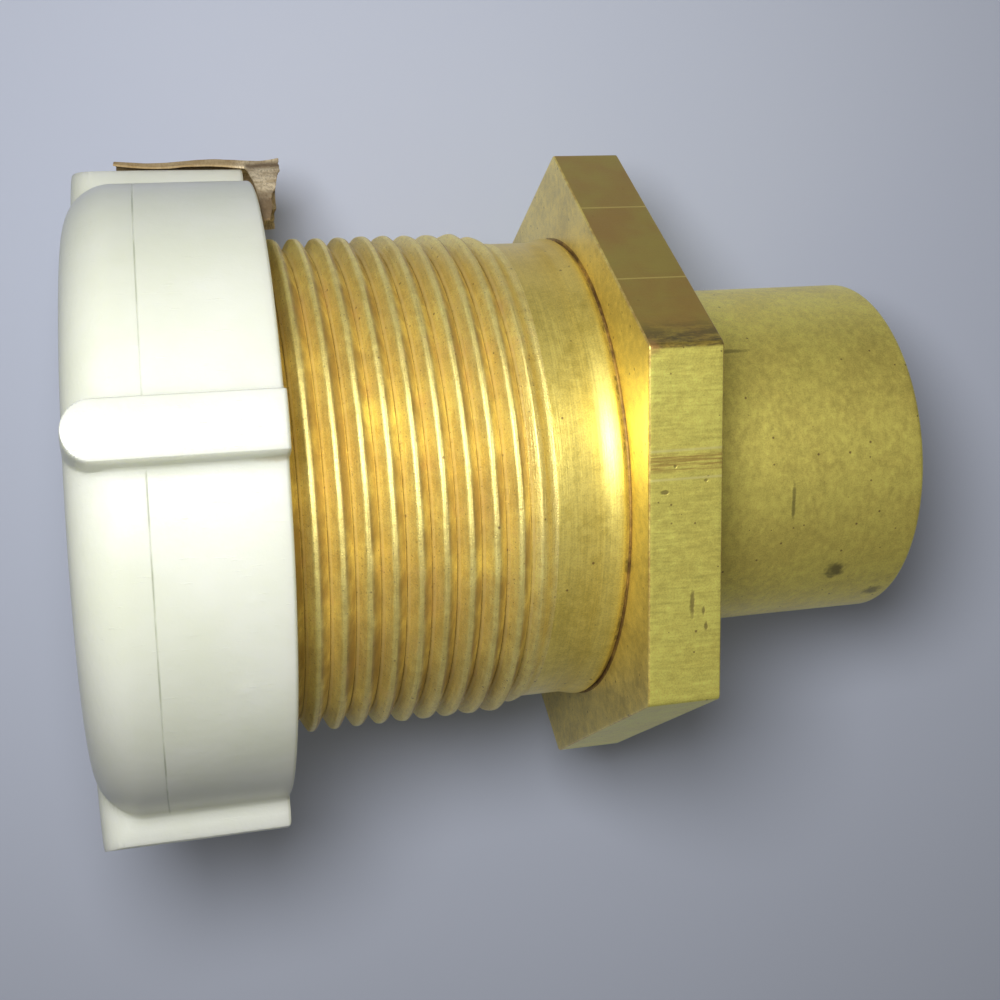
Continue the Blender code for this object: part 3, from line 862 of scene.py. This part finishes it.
def masking_paper():
    """Creped paper, darker where it lies on the nut, with painted shade in the crease valleys and in the fold past
    the rim, and the nut's painted shadow on the tail where it drops below the nut's radius.
    """
    made = Finish("creped_paper", IOR=1.4)
    creases = made.noise((5.0, 1.2, 1.2), detail=4.0, roughness=0.6)
    stains = made.noise((0.5, 0.5, 0.5), detail=5.0, roughness=0.65)
    colour = made.mix(made.between(stains, 0.35, 0.62), (0.48, 0.36, 0.20), (0.84, 0.70, 0.46))
    # Painted shade in the valleys of the creases.
    crease_shade = made.product(made.between(creases, 0.56, 0.36), 0.5)
    colour = made.mix(crease_shade, colour, (0.24, 0.16, 0.08))
    on_nut = made.between(made.x, NUT_RIM - 0.3, NUT_RIM - 1.6)
    colour = made.mix(made.product(on_nut, 0.72), colour, (0.34, 0.22, 0.08))
    # Painted shadow of the nut on the tail, where it drops below the nut's radius.
    tip = made.between(made.radius, NUT_RADIUS - 0.2, NUT_RADIUS - 1.0)
    # Painted shade in the fold just past the rim, under the flared top layer.
    fold = made.product(made.near(made.radius, RIB_RADIUS - 0.2, 1.1),
                        made.between(made.x, NUT_RIM, NUT_RIM + 0.4))
    shaded = made.product(made.math("MAXIMUM", tip, fold), 0.85)
    colour = made.mix(shaded, colour, (0.13, 0.08, 0.035))
    rough = made.total(0.78, made.product(creases, 0.15))
    return made.finish(colour, rough, made.bump(creases, 0.09))


# Assembly -----------------------------------------------------------------------------------------

def add_body():
    finishes = {
        "thread": thread_brass(),
        "turned": turned_brass(),
        "groove": plain_brass("groove_brass", (5.0, 0.3, 0.3), (0.62, 0.44, 0.12), BROWN,
                              0.5, 0.55, 0.02),
        "face": plain_brass("faced_brass", (0.4, 0.8, 0.8), (0.90, 0.73, 0.22),
                            (0.64, 0.51, 0.15), 0.3, 0.40, 0.006),
        "edge": plain_brass("worn_edge_brass", (0.6, 2.0, 2.0), (0.86, 0.70, 0.18), BRONZE,
                            0.3, 0.46, 0.02),
        "hexagon": drawn_brass(),
        "spigot": spigot_brass(),
        "bore": plain_brass("bored_brass", (5.0, 0.3, 0.3), GOLD, BRONZE, 0.5, 0.48, 0.02),
    }
    body = skin("turned_body", body_profile(), finishes, body_wear)
    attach(body, "fitting")
    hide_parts("fitting_body")


def add_nut():
    nut = skin("ribbed_slip_nut", nut_profile(), {"nut": white_plastic()}, nut_wear)
    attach(nut, "nut")
    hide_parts("slip_nut")


def add_washer():
    washer = skin("tapered_washer", washer_profile(), {"washer": washer_plastic()})
    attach(washer, "washer")
    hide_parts("slip_washer")


def add_tape():
    tape = sheet("torn_tape", tape_sheet(), masking_paper())
    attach(tape, "nut")
    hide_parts("tape_remnant")


# Camera, floor and lights -------------------------------------------------------------------------

def looking(place, aim, roll=0.0):
    """A matrix that puts something at place, looking at aim, both in the fitting's frame.

    +Y is up before the roll, which is in radians.
    """
    ahead = (Vector(aim) - Vector(place)).normalized()
    up = Vector((0.0, 1.0, 0.0))
    up = (up - ahead * up.dot(ahead)).normalized()
    right = ahead.cross(up)
    cos, sin = math.cos(roll), math.sin(roll)
    up, right = up * cos + right * sin, right * cos - up * sin
    matrix = Matrix((right, up, -ahead)).transposed().to_4x4()
    matrix.translation = Vector(place) * MM
    return LYING @ matrix


def add_camera():
    data = bpy.data.cameras.new("camera")
    data.sensor_width = 36.0
    data.lens = 49.03
    data.shift_x = 0.0016
    data.shift_y = -0.0951
    data.clip_start = 0.005
    camera = bpy.data.objects.new("camera", data)
    place, aim = (-39.62, 30.75, 133.19), (-6.066, 6.661, 0.0)
    camera.matrix_world = looking(place, aim, roll=math.radians(0.98))
    bpy.context.scene.collection.objects.link(camera)
    bpy.context.scene.camera = camera


def add_light(name, place, aim, size, power):
    """A white disc, size in millimetres across and power in watts."""
    data = bpy.data.lights.new(name, "AREA")
    data.shape = "DISK"
    data.size = size * MM
    data.energy = power
    light = bpy.data.objects.new(name, data)
    light.matrix_world = looking(place, aim)
    bpy.context.scene.collection.objects.link(light)


def add_surroundings():
    bpy.ops.mesh.primitive_plane_add(size=3.0, location=(0.0, 0.0, 0.0))
    floor = bpy.context.object
    floor.name = "floor"
    plain = bpy.data.materials.new("floor_paper")
    plain.use_nodes = True
    shader = plain.node_tree.nodes["Principled BSDF"]
    shader.inputs["Base Color"].default_value = (0.54, 0.58, 0.70, 1.0)
    shader.inputs["Roughness"].default_value = 0.9
    floor.data.materials.append(plain)

    world = bpy.data.worlds.new("world")
    world.use_nodes = True
    background = world.node_tree.nodes["Background"]
    background.inputs["Color"].default_value = (1.0, 0.98, 0.89, 1.0)
    background.inputs["Strength"].default_value = 0.14
    bpy.context.scene.world = world
    bpy.context.scene.view_settings.view_transform = "Standard"

    add_light("key_near_camera", (-53.0, 51.6, 128.8), (-8.0, 0.0, 20.0), 45.0, 0.205)
    add_light("soft_fill", (-220.0, 320.0, 420.0), (0.0, 0.0, 0.0), 300.0, 0.20)


add_camera()
add_surroundings()
add_body()
add_nut()
add_washer()
add_tape()
